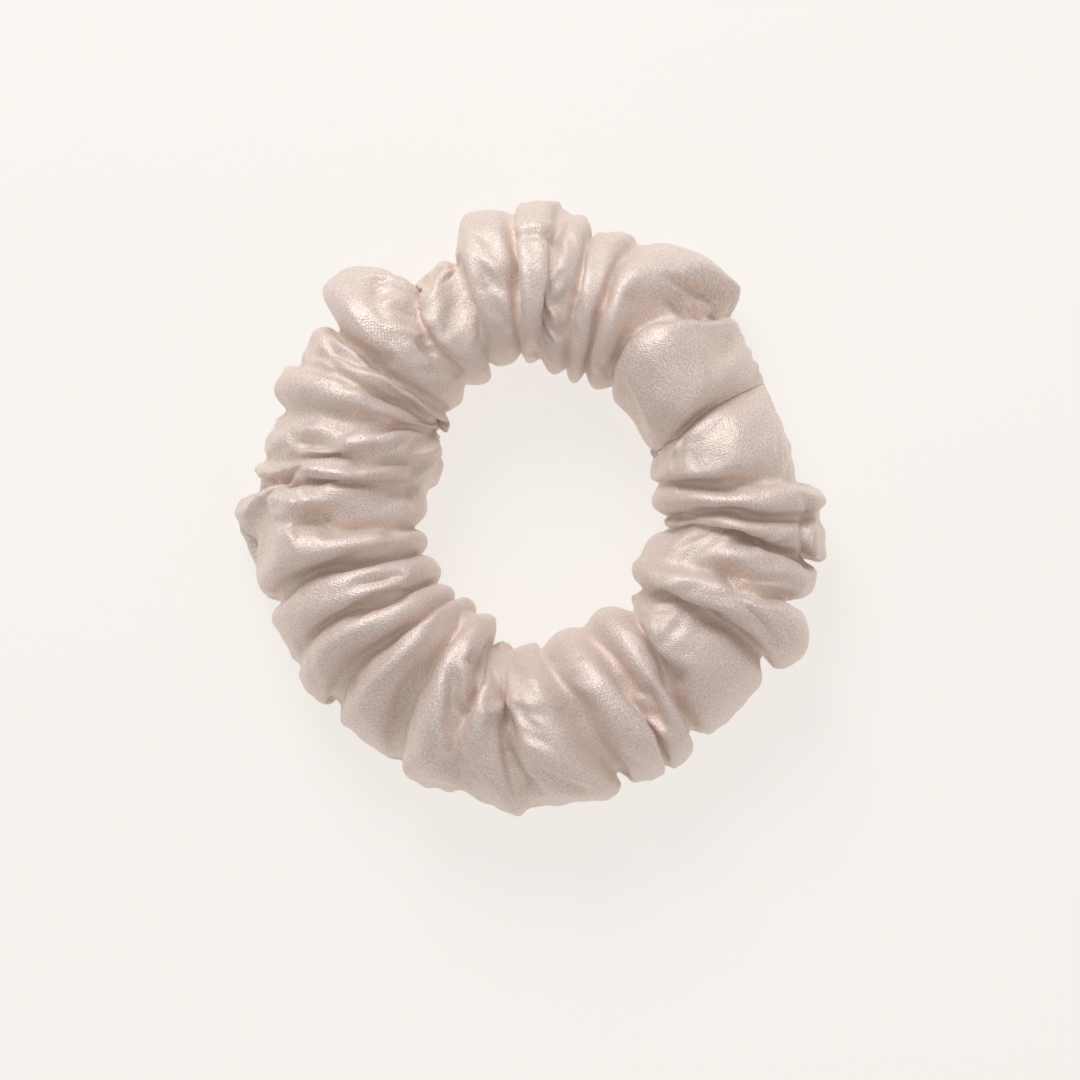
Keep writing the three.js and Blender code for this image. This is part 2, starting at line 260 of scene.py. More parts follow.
def make_mesh(name, points, faces, smooth=True):
    """points are in millimetres in the row frame."""
    mesh = bpy.data.meshes.new(name)
    mesh.from_pydata((np.asarray(points, float).reshape(-1, 3) * MM).tolist(), [], faces)
    mesh.polygons.foreach_set("use_smooth", [smooth] * len(mesh.polygons))
    mesh.update()
    piece = bpy.data.objects.new(name, mesh)
    bpy.context.collection.objects.link(piece)
    return piece


def grid_faces(rows, columns, closed_rows=False, closed_columns=False):
    """Quads of a grid of points, with its columns running round the tube."""
    i = np.arange(rows if closed_rows else rows - 1)[:, None]
    j = np.arange(columns if closed_columns else columns - 1)[None]
    next_i, next_j = (i + 1) % rows, (j + 1) % columns
    corners = [i * columns + j, i * columns + next_j, next_i * columns + next_j, next_i * columns + j]
    return np.stack([c.ravel() for c in corners], axis=1).tolist()


def wave_round(outer, top, inner, bottom, phi):
    """The smooth curve round the tube through its values at the outer edge, top, inner edge and underside."""
    mean = (outer + top + inner + bottom) / 4
    second = (outer - top + inner - bottom) / 4
    first = (outer - inner) / 2 * np.cos(phi) + (top - bottom) / 2 * np.sin(phi)
    return mean + first + second * np.cos(2 * phi)


# ---------------------------------------------------------------- the chosen folds

def chosen_fold(k, phi):
    """Points of fold k on a grid [along, round], and how near the ridge each is, from 0 to 1."""
    after = (k + 1) % len(CREASES)
    edges = []
    for index in (k, after):
        crease = CREASES[index]
        turn = 360 if index < k else 0
        angle = np.radians(wave_round(crease[2], crease[1], crease[0], crease[3], phi) - turn)
        at_top, at_inner = crease[5] * TOP_DEPTH, crease[4] * INNER_DEPTH
        depth = np.clip(wave_round(crease[6], at_top, at_inner, crease[7], phi), 0, None)
        edges.append((angle, depth, crease[8] * LEAN * depth / 5))
    psi = np.linspace(0, np.pi, PROFILE_STEPS + 1)[:, None]
    across = (1 - np.sign(np.cos(psi)) * np.abs(np.cos(psi)) ** (2 / DOME)) / 2
    ridge = np.abs(np.sin(psi)) ** (2 / DOME)
    first = across < 0.5
    before = FOLDS[k - 1]
    size = []
    for own, last, following in zip(FOLDS[k], before, FOLDS[after]):
        edge = np.where(first, (last + own) / 2, (following + own) / 2)
        size.append(edge + (own - edge) * ridge)
    inner, outer, height = size
    depth = np.where(first, edges[0][1], edges[1][1]) * (1 - ridge)
    lean = np.where(first, edges[0][2], edges[1][2]) * (1 - ridge)
    x = (outer - inner) / 2 * np.sign(np.cos(phi)) * np.abs(np.cos(phi)) ** (2 / SECTION)
    z = height / 2 * np.sign(np.sin(phi)) * np.abs(np.sin(phi)) ** (2 / SECTION)
    shrink = 1 - depth / np.hypot(x, z)
    radius = (inner + outer) / 2 + x * shrink
    half_gap = FLOOR_WIDTH / radius / 2
    start, end = edges[0][0] - half_gap, edges[1][0] + half_gap
    angle = start + (end - start) * across - lean / radius
    points = np.stack([radius * np.cos(angle), radius * np.sin(angle), height / 2 + z * shrink], axis=-1)
    return points, np.broadcast_to(ridge, depth.shape)


def evenly(points, ridge):
    """The same fold with its grid lines evenly spaced along the cloth."""
    steps = np.linalg.norm(np.diff(points, axis=0), axis=-1)
    along = np.vstack([np.zeros(AROUND), np.cumsum(steps, axis=0)])
    count = max(6, round(float(np.median(along[-1])) / CELL))
    share = np.linspace(0, 1, count + 1)
    made = np.empty((count + 1, AROUND, 4))
    for j in range(AROUND):
        at = along[:, j] / along[-1, j]
        for axis in range(3):
            made[:, j, axis] = np.interp(share, at, points[:, j, axis])
        made[:, j, 3] = np.interp(share, at, ridge[:, j])
    return made


def chosen_folds():
    """All folds in one grid, how near a ridge each point is, and how many rows each fold has."""
    phi = np.linspace(0, 2 * np.pi, AROUND, endpoint=False)
    folds = [evenly(*chosen_fold(k, phi)) for k in range(len(CREASES))]
    grid = np.concatenate(folds)
    return grid[..., :3], grid[..., 3], [len(fold) for fold in folds]


# ---------------------------------------------------------------- the simulation

def flat_tube(rows):
    """The tube before it was gathered, as a wristband: this is where the cloth's own lengths come from."""
    half_width, half_height = 6.0, 17.6
    turn = np.linspace(0, 2 * np.pi, 4001)
    x, z = half_width * np.cos(turn), half_height * np.sin(turn)
    along = np.concatenate([[0], np.cumsum(np.hypot(np.diff(x), np.diff(z)))])
    at = np.linspace(0, along[-1], AROUND, endpoint=False)
    scale = TUBE / along[-1]
    x, z = np.interp(at, along, x) * scale, np.interp(at, along, z) * scale
    angle = -np.linspace(0, 2 * np.pi, rows, endpoint=False)[:, None]
    radius = CUT_LENGTH / (2 * math.pi) + x[None]
    z = np.broadcast_to(z, angle.shape[:1] + z.shape)
    return np.stack([radius * np.cos(angle), radius * np.sin(angle), z], axis=-1)


def sim_object(name, grid):
    mesh = bpy.data.meshes.new(name)
    faces = grid_faces(*grid.shape[:2], closed_rows=True, closed_columns=True)
    mesh.from_pydata((grid.reshape(-1, 3) * SIM_SCALE).tolist(), [], faces)
    piece = bpy.data.objects.new(name, mesh)
    bpy.context.collection.objects.link(piece)
    return piece


def opening_edge(angle):
    """How far the oval opening's edge is from its centre."""
    return 1 / np.sqrt((np.cos(angle) / OPENING[0]) ** 2 + (np.sin(angle) / OPENING[1]) ** 2)


def sim_colliders():
    """The elastic, and the table."""
    angle = np.linspace(0, 2 * np.pi, 96, endpoint=False)[:, None]
    across = np.array([-1, 1, 1, -1])[None] * ELASTIC_HALF[0]
    up = np.array([-1, -1, 1, 1])[None] * ELASTIC_HALF[1]
    radius = opening_edge(angle) + ELASTIC_INSET + across
    z = np.broadcast_to(ELASTIC_HEIGHT + up, radius.shape)
    ring = np.stack([radius * np.cos(angle), radius * np.sin(angle), z], axis=-1)
    elastic = sim_object("sim_elastic", ring)
    bpy.ops.mesh.primitive_plane_add(size=2, location=(0, 0, -TABLE_DROP * SIM_SCALE))
    table = bpy.context.object
    for collider, thickness in ((elastic, ELASTIC_CONTACT), (table, TABLE_CONTACT)):
        collider.modifiers.new("Collision", "COLLISION")
        collider.collision.thickness_outer = thickness * SIM_SCALE
    return [elastic, table]


def set_cloth(piece, rest):
    cloth = piece.modifiers.new("Cloth", "CLOTH")
    settings = cloth.settings
    settings.quality = 5
    settings.mass = 0.3
    settings.air_damping = 2
    settings.tension_stiffness = 15
    settings.compression_stiffness = 8
    settings.shear_stiffness = 5
    settings.bending_model = "LINEAR"
    settings.bending_stiffness = 0.12
    settings.tension_damping = 15
    settings.compression_damping = 15
    settings.shear_damping = 15
    settings.use_pressure = True
    settings.uniform_pressure_force = -SUCTION
    settings.rest_shape_key = rest
    settings.vertex_group_mass = "hold"
    settings.pin_stiffness = 1
    settings.effector_weights.gravity = 0
    contact = cloth.collision_settings
    contact.collision_quality = 2
    contact.distance_min = 0.003
    contact.use_self_collision = True
    contact.self_distance_min = 0.003
    contact.self_friction = 5
    cloth.point_cache.frame_start = 1
    cloth.point_cache.frame_end = FRAMES


def simulate(grid, ridge):
    """Lets the satin settle from the chosen folds, and returns the grid of points that it settled to."""
    cover = sim_object("sim_cover", grid)
    cover.shape_key_add(name="Basis")
    rest = cover.shape_key_add(name="rest")
    rest.data.foreach_set("co", (flat_tube(len(grid)) * SIM_SCALE).ravel())
    rest.value = 0
    group = cover.vertex_groups.new(name="hold")
    for i, near in enumerate(ridge.ravel()):
        group.add([i], float(HOLD_FLOORS + (HOLD_RIDGES - HOLD_FLOORS) * near**3), "REPLACE")
    set_cloth(cover, rest)
    helpers = [cover] + sim_colliders()
    for number in range(1, FRAMES + 1):
        bpy.context.scene.frame_set(number)
    settled = cover.evaluated_get(bpy.context.evaluated_depsgraph_get())
    points = np.empty(grid.size, dtype=np.float32)
    settled.data.vertices.foreach_get("co", points)
    for piece in helpers:
        bpy.data.objects.remove(piece)
    bpy.context.scene.frame_set(1)
    return points.reshape(grid.shape).astype(float) / SIM_SCALE


# ---------------------------------------------------------------- fitting and smoothing

def keep_waves(grid, along, around):
    """Takes out the waves that are shorter than this many cells."""
    k = (np.fft.fftfreq(grid.shape[0])[:, None, None] * along) ** 2
    k = k + (np.fft.fftfreq(grid.shape[1])[None, :, None] * around) ** 2
    return np.real(np.fft.ifft2(np.fft.fft2(grid, axes=(0, 1)) * np.exp(-(k**2)), axes=(0, 1)))


def smoothed(grid):
    """Keeps the fine wrinkles, except on the inner side, where the gathered cloth only makes noise."""
    fine = keep_waves(grid, KEEP_ALONG, KEEP_ROUND)
    calm = keep_waves(grid, KEEP_INSIDE, KEEP_ROUND)
    phi = np.linspace(0, 2 * np.pi, grid.shape[1], endpoint=False)
    inside = np.clip(-0.3 - 1.4 * np.cos(phi), 0, 1)[None, :, None]
    return fine + (calm - fine) * inside


def fold_sizes(grid, counts):
    """Each fold's angle, inner and outer distance, and lowest and highest point."""
    sizes = []
    first = 0
    for count in counts:
        part = grid[first : first + count]
        first += count
        radius = np.hypot(part[..., 0], part[..., 1])
        turn = np.angle(np.mean(np.exp(1j * np.arctan2(part[..., 1], part[..., 0]))))
        spans = [np.percentile(values, share) for values in (radius, part[..., 2]) for share in SPREAD]
        sizes.append([turn] + spans)
    return np.array(sizes)


def between_folds(values, counts):
    """One value for each fold, turned into one for each row that changes smoothly from fold to fold."""
    rows = sum(counts)
    ends = np.cumsum(counts)
    middles = ends - (np.array(counts) + 1) / 2
    places = np.concatenate([middles[-1:] - rows, middles, middles[:1] + rows])
    values = np.concatenate([values[-1:], values, values[:1]])
    at = np.interp(np.arange(rows), places, np.arange(len(places)))
    index = np.minimum(np.floor(at).astype(int), len(places) - 2)
    share = at - index
    share = share * share * (3 - 2 * share)
    return (values[index] * (1 - share) + values[index + 1] * share)[:, None]


def fitted(grid, wanted, counts):
    """Moves each fold back to the angle and the size that were chosen for it."""
    have, want = fold_sizes(grid, counts), fold_sizes(wanted, counts)
    turn = np.angle(np.exp(1j * (want[:, 0] - have[:, 0])))
    angle = np.arctan2(grid[..., 1], grid[..., 0]) + between_folds(turn, counts)
    spans = []
    for values, low in ((np.hypot(grid[..., 0], grid[..., 1]), 1), (grid[..., 2], 3)):
        have_low, have_high = (between_folds(have[:, i], counts) for i in (low, low + 1))
        want_low, want_high = (between_folds(want[:, i], counts) for i in (low, low + 1))
        spans.append(want_low + (values - have_low) * (want_high - want_low) / (have_high - have_low))
    radius, z = spans
    return np.stack([radius * np.cos(angle), radius * np.sin(angle), z], axis=-1)


def refined(grid, times):
    """The same smooth surface with more grid lines."""
    rows, columns = grid.shape[:2]
    waves = np.fft.fftshift(np.fft.fft2(grid, axes=(0, 1)), axes=(0, 1))
    made = np.zeros((rows * times, columns * times, 3), dtype=complex)
    top, left = (rows * times) // 2 - rows // 2, (columns * times) // 2 - columns // 2
    made[top : top + rows, left : left + columns] = waves
    made = np.fft.ifft2(np.fft.ifftshift(made, axes=(0, 1)), axes=(0, 1))
    return np.real(made) * times * times


# ---------------------------------------------------------------- from folds to the finished surface

def near_path(plan, path):
    """How far each point is from a path, seen from above, and how far along the path its foot is."""
    nearest = np.full(plan.shape[:2], np.inf)
    share = np.zeros(plan.shape[:2])
    for number, (start, end) in enumerate(zip(path[:-1], path[1:])):
        step = end - start
        foot = np.clip((plan - start) @ step / (step @ step), 0, 1)
        away = np.linalg.norm(plan - start - foot[..., None] * step, axis=-1)
        share = np.where(away < nearest, (number + foot) / (len(path) - 1), share)
        nearest = np.minimum(away, nearest)
    return nearest, share


def cornered(grid):
    """Pulls out the corners of the outline."""
    made = grid.copy()
    for angle, radius, push, half_width in CORNERS:
        out = np.array([np.cos(np.radians(angle)), np.sin(np.radians(angle))])
        away = np.linalg.norm(grid[..., :2] - radius * out, axis=-1)
        made[..., :2] += out * (push * np.exp(-((away / half_width) ** 2)))[..., None]
    return made


def wrinkled(grid):
    """Lays the smaller wrinkles on the cloth that faces up."""
    out = slopes(keep_waves(grid, CALM, CALM))[2]
    pressed = np.zeros(grid.shape[:2])
    for depth, half_width, places in WRINKLES:
        angle, radius = np.array(places, float).T
        path = np.stack([radius * np.cos(np.radians(angle)), radius * np.sin(np.radians(angle))], axis=1)
        away, share = near_path(grid[..., :2], path)
        bell = (away / half_width) ** 2
        pressed += depth * np.sqrt(np.sin(np.pi * share)) * (1 - WRINKLE_RIM * bell) * np.exp(-bell)
    return grid - out * (pressed * np.clip(1.6 * out[..., 2], 0, 1))[..., None]


def elastic_place():
    """The elastic's middle radius and half its thickness, by angle, and the heights of its two edges."""
    points = np.array([v.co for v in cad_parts["elastic_band"].data.vertices]) / MM
    radius = np.hypot(points[:, 0], points[:, 1])
    angle = np.degrees(np.arctan2(points[:, 1], points[:, 0])) % 360
    bins = np.arange(0, 361, ELASTIC_BIN)
    inner, outer = [], []
    for start in bins:
        away = np.abs((angle - start + 180) % 360 - 180)
        inner.append(radius[away <= ELASTIC_BIN].min())
        outer.append(radius[away <= ELASTIC_BIN].max())
    inner, outer = np.array(inner), np.array(outer)
    return bins, (inner + outer) / 2, (outer - inner) / 2, points[:, 2].min(), points[:, 2].max()


def clear_of_elastic(grid):
    """Keeps the crease floors beyond the elastic, measured along the direction that the tube faces there."""
    bins, middle, half, low, high = elastic_place()
    phi = np.linspace(0, 2 * np.pi, grid.shape[1], endpoint=False)[None]
    radius = np.hypot(grid[..., 0], grid[..., 1])
    angle = np.degrees(np.arctan2(grid[..., 1], grid[..., 0])) % 360
    across = radius - np.interp(angle, bins, middle)
    up = grid[..., 2] - (low + high) / 2
    wide = np.interp(angle, bins, half) + ELASTIC_CLEARANCE
    tall = (high - low) / 2 + ELASTIC_CLEARANCE
    reach = np.abs(np.cos(phi)) * wide + np.abs(np.sin(phi)) * tall
    short = reach - across * np.cos(phi) - up * np.sin(phi)
    push = ELASTIC_EASE * np.logaddexp(0, short / ELASTIC_EASE)
    scale = 1 + push * np.cos(phi) / radius
    z = grid[..., 2] + push * np.sin(phi)
    return np.stack([grid[..., 0] * scale, grid[..., 1] * scale, z], axis=-1)


def on_table(grid):
    """Flattens what would reach below the table against it."""
    z = grid[..., 2]
    pressed = TOUCH * np.exp(np.minimum(z, TOUCH) / TOUCH - 1)
    made = grid.copy()
    made[..., 2] = np.where(z < TOUCH, pressed, z)
    return made


def slopes(grid):
    """Unit vectors along the tube, round it, and out of it."""
    along = np.roll(grid, -1, axis=0) - np.roll(grid, 1, axis=0)
    around = np.roll(grid, -1, axis=1) - np.roll(grid, 1, axis=1)
    out = np.cross(around, along)
    return [v / (np.linalg.norm(v, axis=-1, keepdims=True) + 1e-9) for v in (along, around, out)]


def puckered(grid):
    """Draws the lengthwise seam in, with the small puckers that its stitches make."""
    out = slopes(grid)[2]
    columns = grid.shape[1]
    away = np.minimum(np.arange(columns), columns - np.arange(columns)) * TUBE / columns
    rows = np.arange(len(grid)) * CELL / REFINE
    ripple = np.sin(2 * np.pi * rows / PUCKER) + 0.5 * np.sin(2 * np.pi * rows / (1.7 * PUCKER) + 1)
    groove = SEAM_GROOVE * np.exp(-((away / GROOVE_WIDTH) ** 2))[None]
    pucker = PUCKER_DEPTH * ripple[:, None] * np.exp(-((away / PUCKER_REACH) ** 2))[None]
    return grid - out * (groove + pucker)[..., None]


def into_the_tube(grid):
    """The level direction from each point of the lengthwise seam in which its raw edges are turned."""
    level = np.array([1.0, 1.0, 0.0])
    seam = grid[:, 0] * level
    away = seam / np.linalg.norm(seam, axis=1, keepdims=True)
    inwards = -away - SEAM_LEAN * slopes(grid)[2][:, 0] * level
    return inwards / np.linalg.norm(inwards, axis=1, keepdims=True)


def turned_in_columns(grid):
    """The cloth as one sheet: cut along the seam, with both raw edges turned inwards."""
    seam = grid[:, 0]
    up = np.array([0.0, 0.0, SEAM_GAP / 2])
    inwards = into_the_tube(grid)
    depths = np.array([0.0, 0.5, 1.5, 2.7, 3.9, SEAM_ALLOWANCE])[:, None, None]
    upper = np.moveaxis(seam + up + inwards * depths, 0, 1)
    lower = np.moveaxis(seam - up + inwards * depths, 0, 1)
    sheet = np.concatenate([upper[:, ::-1], grid[:, 1:], lower], axis=1)
    size = TUBE / grid.shape[1]
    start = -depths.ravel()[::-1]
    across = np.concatenate([start, np.arange(1, grid.shape[1]) * size, TUBE + depths.ravel()])
    return sheet, across


def turned_in_rows(sheet, out):
    """The tube's two ends, turned in where they meet in a crease."""
    first, last = sheet[0], sheet[-1]
    middle = (first + last) / 2
    apart = (first - last) / (np.linalg.norm(first - last, axis=1, keepdims=True) + 1e-9) * CLOSING_GAP / 2
    starts = [middle + apart - out * depth for depth in CLOSING_ENDS]
    ends = [middle - apart - out * depth for depth in CLOSING_ENDS[::-1]]
    return np.concatenate([starts, sheet, ends])


def hollows(grid):
    """How deep each point lies in a crease, from 0 on a ridge to 1: the mask of the painted warm glow in the
    creases.
    """
    out = slopes(grid)[2]
    calm = keep_waves(grid, 16.0, 16.0)
    depth = np.sum((calm - grid) * out, axis=-1)
    return np.clip(0.5 + depth / 2.4, 0, 1)


def settled_folds():
    """The cloth's surface about the opening's centre, before its seam is drawn in.
    """
    chosen, ridge, counts = chosen_folds()
    settled = smoothed(simulate(chosen, ridge))
    grid = fitted(settled, chosen, counts)
    grid = np.roll(grid, -sum(counts[:CLOSING_CREASE]), axis=0)
    return wrinkled(cornered(refined(grid, REFINE)))


def satin_cover(grid):
    """The tube as one sheet, with its cloth coordinates and, at each point, the mask of the painted crease
    glow.
    """
    sheet, across = turned_in_columns(grid)
    allowance = (len(across) - grid.shape[1] + 1) // 2
    ends = len(CLOSING_ENDS)
    # The seam allowances and the turned-in ends get the full painted crease glow.
    deep = np.pad(hollows(grid)[:, 1:], ((ends, ends), (allowance, allowance)), constant_values=1)
    out = slopes(sheet)[2]
    end_out = out[1] + out[-2]
    sheet = turned_in_rows(sheet, end_out / (np.linalg.norm(end_out, axis=1, keepdims=True) + 1e-9))
    along = (np.arange(len(sheet)) - ends) * CUT_LENGTH / len(grid)
    cover = make_mesh("satin_tube", sheet, grid_faces(*sheet.shape[:2]))
    add_cloth_coordinates(cover, along, across)
    shade = cover.data.attributes.new("painted_glow_mask", "FLOAT", "POINT")
    shade.data.foreach_set("value", deep.astype(np.float32).ravel())
    return cover


def add_cloth_coordinates(piece, along, across):
    """Where each point lies on the flat cloth, in units of 100 mm, as a UV map."""
    grid = np.stack(np.meshgrid(along, across, indexing="ij"), axis=-1).reshape(-1, 2) / 100
    corners = np.empty(len(piece.data.loops), dtype=np.int32)
    piece.data.loops.foreach_get("vertex_index", corners)
    layer = piece.data.uv_layers.new(name="cloth")
    layer.data.foreach_set("uv", grid[corners].astype(np.float32).ravel())


# ---------------------------------------------------------------- the threads

def thread_piece(name, path, diameter, closed=False):
    """A round thread along a path of points."""
    path = np.asarray(path, float)
    if closed:
        ahead = np.roll(path, -1, axis=0) - np.roll(path, 1, axis=0)
    else:
        ahead = np.gradient(path, axis=0)
    ahead = ahead / (np.linalg.norm(ahead, axis=1, keepdims=True) + 1e-9)
    side = np.cross(ahead, np.array([0.0, 0.0, 1.0]))
    side = side / (np.linalg.norm(side, axis=1, keepdims=True) + 1e-9)
    up = np.cross(side, ahead)
    turn = np.linspace(0, 2 * np.pi, THREAD_SIDES, endpoint=False)[None, :, None]
    ring = path[:, None] + diameter / 2 * (side[:, None] * np.cos(turn) + up[:, None] * np.sin(turn))
    faces = grid_faces(len(path), THREAD_SIDES, closed_rows=closed, closed_columns=True)
    if not closed:
        last = (len(path) - 1) * THREAD_SIDES
        faces.append(list(range(THREAD_SIDES))[::-1])
        faces.append([last + i for i in range(THREAD_SIDES)])
    return make_mesh(name, ring, faces)


def long_seam_thread(grid):
    """Runs through both seam allowances, inside the tube."""
    seam = grid[:, 0]
    length = np.linalg.norm(np.roll(seam, -1, axis=0) - seam, axis=1)
    along = np.concatenate([[0], np.cumsum(length)])
    count = round(along[-1] / STITCH)
    at = np.linspace(0, along[-1], count * STEPS_PER_STITCH, endpoint=False)
    at = at[STEPS_PER_STITCH:-STEPS_PER_STITCH]
    closed = np.vstack([seam, seam[:1]])
    inwards = into_the_tube(grid)
    closed = closed + STITCH_LINE * np.vstack([inwards, inwards[:1]])
    path = np.stack([np.interp(at, along, closed[:, axis]) for axis in range(3)], axis=1)
    path[:, 2] += (SEAM_GAP / 2 + THREAD / 2 + 0.05) * np.cos(np.pi * at / STITCH)
    return thread_piece("long_seam_stitches", path, THREAD)


def closing_seam_thread(grid):
    """Whip stitches over the tube's two ends, on the side of the opening."""
    phi = np.radians(np.linspace(CLOSING_FROM, CLOSING_TO, CLOSING_STITCHES * CLOSING_STEPS))
    columns = grid.shape[1]
    at = phi / (2 * np.pi) * columns
    middle = (grid[0] + grid[-1]) / 2
    out = slopes(grid)[2]
    out = out[1] + out[-2]
    out = out / (np.linalg.norm(out, axis=1, keepdims=True) + 1e-9)
    across = grid[2] - grid[-3]
    across = across / (np.linalg.norm(across, axis=1, keepdims=True) + 1e-9)
    line, normal, side = (
        np.stack([np.interp(at, np.arange(columns), values[:, axis]) for axis in range(3)], axis=1)
        for values in (middle, out, across)
    )
    turn = np.linspace(0, 2 * np.pi * CLOSING_STITCHES, len(at))[:, None]
    path = line + normal * CLOSING_LIFT * np.cos(turn) + side * CLOSING_REACH * np.sin(turn)
    return thread_piece("closing_seam_stitches", path, THREAD)


# ---------------------------------------------------------------- materials

class Nodes:
    """Short calls for building a material's node tree."""

    def __init__(self, name):
        self.material = bpy.data.materials.new(name)
        self.material.use_nodes = True
        self.tree = self.material.node_tree
        self.shader = self.tree.nodes["Principled BSDF"]

    def add(self, kind, inputs=None, **settings):
        node = self.tree.nodes.new(kind)
        for key, value in settings.items():
            setattr(node, key, value)
        for key, value in (inputs or {}).items():
            self.set(node, key, value)
        return node

    def set(self, node, key, value):
        socket = node.inputs[key]
        if isinstance(value, bpy.types.NodeSocket):
            self.tree.links.new(value, socket)
        else:
            socket.default_value = value

    def math(self, operation, a, b):
        node = self.add("ShaderNodeMath", operation=operation)
        self.set(node, 0, a)
        self.set(node, 1, b)
        return node.outputs[0]

    def mix(self, factor, a, b):
        node = self.add("ShaderNodeMix", data_type="RGBA")
        self.set(node, 0, factor)
        self.set(node, 6, a)
        self.set(node, 7, b)
        return node.outputs[2]

    def noise(self, vector, scale, detail=2.0):
        inputs = {"Vector": vector, "Scale": scale, "Detail": detail}
        return self.add("ShaderNodeTexNoise", inputs).outputs["Fac"]


def satin_material():
    """Ivory satin: broad soft highlights broken up by a fine diagonal weave, a painted warm glow in the
    creases, and painted glints on the weave.
    """
    n = Nodes("ivory_satin")
    cloth = n.add("ShaderNodeUVMap", uv_map="cloth").outputs[0]
    flipped = n.add("ShaderNodeMapping", {"Vector": cloth, "Scale": (1.0, -1.0, 1.0)}).outputs[0]
    painted_glow_mask = n.add("ShaderNodeAttribute", attribute_name="painted_glow_mask").outputs["Fac"]
    wave = {"Scale": WEAVE_SCALE, "Distortion": 4.0, "Detail": 2.0, "Detail Scale": 2.2}
    threads = []
    for vector in (cloth, flipped):
        wave["Vector"] = vector
        threads.append(n.add("ShaderNodeTexWave", wave, bands_direction="DIAGONAL").outputs["Fac"])
    weave = n.math("MULTIPLY", threads[0], threads[1])
    grain = n.noise(cloth, GRAIN_SCALE, 1.0)
    glint = n.math("ADD", n.math("MULTIPLY", weave, 0.3), n.math("MULTIPLY", grain, 0.85))
    height = n.math("ADD", n.math("MULTIPLY", weave, 0.4), grain)
    fine = n.add("ShaderNodeBump", {"Height": height, "Strength": 0.7, "Distance": 0.00013})
    soft = n.add("ShaderNodeBump", {"Height": n.noise(cloth, 34.0, 3.0), "Strength": 0.4, "Distance": 0.0006})
    n.set(fine, "Normal", soft.outputs[0])
    n.set(n.shader, "Normal", fine.outputs[0])
    # Painted light: the creases take the lighter, warmer crease colour, a painted glow of light bounced
    # there.
    colour = n.mix(painted_glow_mask, SATIN_RIDGE, SATIN_PAINTED_CREASE_GLOW)
    colour = n.mix(n.math("MULTIPLY", n.noise(cloth, 12.0), 0.4), colour, SATIN_BLUSH)
    # Painted glints: the weave and the grain lighten the base colour in small spots, for the sparkle of light
    # on the threads.
    bright = n.math("ADD", 0.6, n.math("MULTIPLY", glint, 0.75))
    shade = n.add("ShaderNodeVectorMath", {0: colour}, operation="SCALE")
    n.set(shade, "Scale", bright)
    n.set(n.shader, "Base Color", shade.outputs[0])
    n.set(n.shader, "Roughness", n.math("ADD", 0.42, n.math("MULTIPLY", grain, 0.16)))
    n.set(n.shader, "Metallic", 0.4)
    n.set(n.shader, "Anisotropic", 0.5)
    n.set(n.shader, "Specular IOR Level", 0.5)
    n.set(n.shader, "Sheen Weight", 0.15)
    n.set(n.shader, "Sheen Roughness", 0.45)
    n.set(n.shader, "Sheen Tint", (1.0, 0.93, 0.93, 1.0))
    tangent = n.add("ShaderNodeTangent", direction_type="UV_MAP", uv_map="cloth")
    n.set(n.shader, "Tangent", tangent.outputs[0])
    return n.material


def thread_material():
    """Twisted sewing thread."""
    n = Nodes("sewing_thread")
    place = n.add("ShaderNodeTexCoord").outputs["Object"]
    wave = {"Vector": place, "Scale": 900.0, "Distortion": 2.0, "Detail": 1.0}
    ply = n.add("ShaderNodeTexWave", wave, bands_direction="DIAGONAL").outputs["Fac"]
    bump = n.add("ShaderNodeBump", {"Height": ply, "Strength": 0.5, "Distance": 0.00008})
    n.set(n.shader, "Normal", bump.outputs[0])
    n.set(n.shader, "Base Color", n.mix(ply, (0.72, 0.64, 0.58, 1.0), (0.86, 0.80, 0.74, 1.0)))
    n.set(n.shader, "Roughness", 0.5)
    n.set(n.shader, "Sheen Weight", 0.2)
    return n.material


def elastic_material():
    """Ribbed knitted elastic."""
    n = Nodes("knitted_elastic")
    place = n.add("ShaderNodeTexCoord").outputs["Object"]
    wave = {"Vector": place, "Scale": 420.0, "Distortion": 0.4}
    ribs = n.add("ShaderNodeTexWave", wave, bands_direction="Z")
    knit = n.noise(place, 2600.0)
    height = n.math("ADD", ribs.outputs["Fac"], n.math("MULTIPLY", knit, 0.6))
    bump = n.add("ShaderNodeBump", {"Height": height, "Strength": 0.7, "Distance": 0.0002})
    n.set(n.shader, "Normal", bump.outputs[0])
    n.set(n.shader, "Base Color", n.mix(knit, (0.70, 0.66, 0.61, 1.0), (0.90, 0.88, 0.84, 1.0)))
    n.set(n.shader, "Roughness", n.math("ADD", 0.7, n.math("MULTIPLY", knit, 0.15)))
    return n.material


def floor_material():
    n = Nodes("pale_floor")
    place = n.add("ShaderNodeTexCoord").outputs["Object"]
    n.set(n.shader, "Base Color", n.mix(n.noise(place, 6.0), FLOOR_COLOUR, FLOOR_SHADE))
    n.set(n.shader, "Roughness", 0.9)
    n.set(n.shader, "Specular IOR Level", 0.1)
    n.set(n.shader, "Emission Color", FLOOR_GLOW_COLOUR)
    n.set(n.shader, "Emission Strength", FLOOR_GLOW)
    return n.material


# ---------------------------------------------------------------- camera, light and floor

def aim(thing, target):
    thing.rotation_euler = (Vector(target) - thing.location).to_track_quat("-Z", "Y").to_euler()


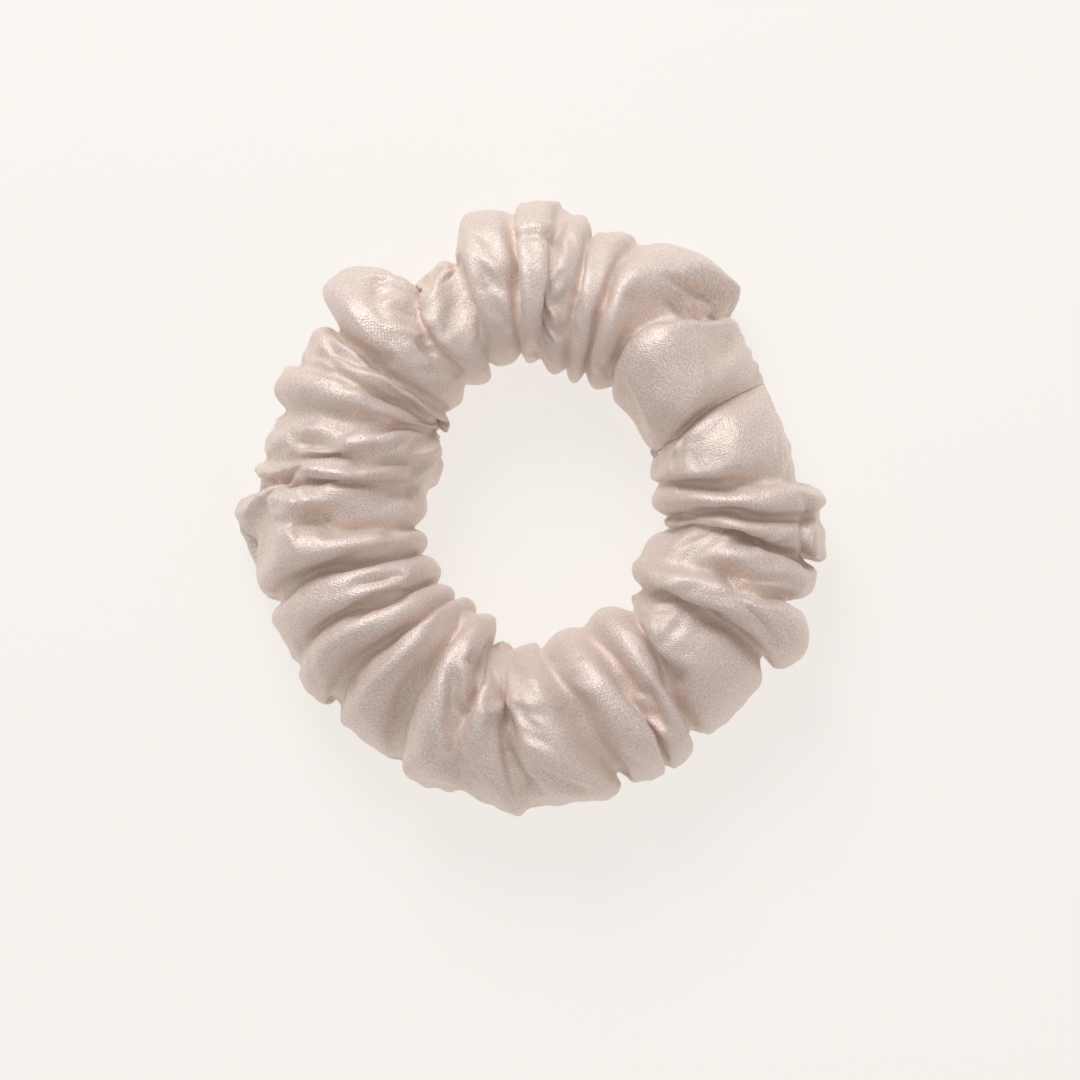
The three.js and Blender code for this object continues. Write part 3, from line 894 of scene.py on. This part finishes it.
def add_camera():
    low, high = cad_low, cad_high
    centre = (low + high) / 2
    data = bpy.data.cameras.new("camera")
    camera = bpy.data.objects.new("camera", data)
    bpy.context.collection.objects.link(camera)
    camera.location = centre + Vector((VIEW_SHIFT[0] * MM, VIEW_SHIFT[1] * MM, VIEW_DISTANCE))
    data.lens = data.sensor_width * VIEW_DISTANCE / (VIEW_WIDTH * MM)
    bpy.context.scene.camera = camera


def add_area_light(name, place, size, power, colour):
    data = bpy.data.lights.new(name, "AREA")
    data.shape = "DISK"
    data.size = size
    data.energy = power
    data.color = colour
    light = bpy.data.objects.new(name, data)
    bpy.context.collection.objects.link(light)
    light.location = place
    aim(light, (0, 0, 0.01))


def add_studio():
    world = bpy.data.worlds.new("studio")
    bpy.context.scene.world = world
    world.use_nodes = True
    background = world.node_tree.nodes["Background"]
    background.inputs["Color"].default_value = WORLD_COLOUR
    background.inputs["Strength"].default_value = WORLD_STRENGTH
    for light in LIGHTS:
        add_area_light(*light)
    bpy.ops.mesh.primitive_plane_add(size=6, location=(0, 0, cad_low.z - 0.0002))
    floor = bpy.context.object
    floor.name = "floor"
    floor.data.materials.append(floor_material())
    bpy.context.scene.view_settings.view_transform = "Standard"


# ---------------------------------------------------------------- the model

def place_about_origin(grid):
    """From the opening's centre, which is the elastic's, to the row frame."""
    low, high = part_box("elastic_band")
    return grid + np.array([(low.x + high.x) / 2, (low.y + high.y) / 2, 0]) / MM


def build():
    grid = place_about_origin(settled_folds())
    grid = on_table(clear_of_elastic(puckered(grid)))
    cover = satin_cover(grid)
    cover.data.materials.append(satin_material())
    thread = thread_material()
    seam = long_seam_thread(grid)
    closing = closing_seam_thread(grid)
    for piece in (seam, closing):
        piece.data.materials.append(thread)
    for node, material in (("elastic_band", elastic_material()), ("elastic_lap_thread", thread)):
        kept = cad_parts[node]
        kept.data.materials.clear()
        kept.data.materials.append(material)
    for piece, node, slot in (
        (cover, "satin_cover", "satin"),
        (seam, "long_seam_thread", "thread"),
        (closing, "closing_seam_thread", "thread"),
    ):
        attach(piece, "root")
        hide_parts(node)


add_camera()
add_studio()
build()
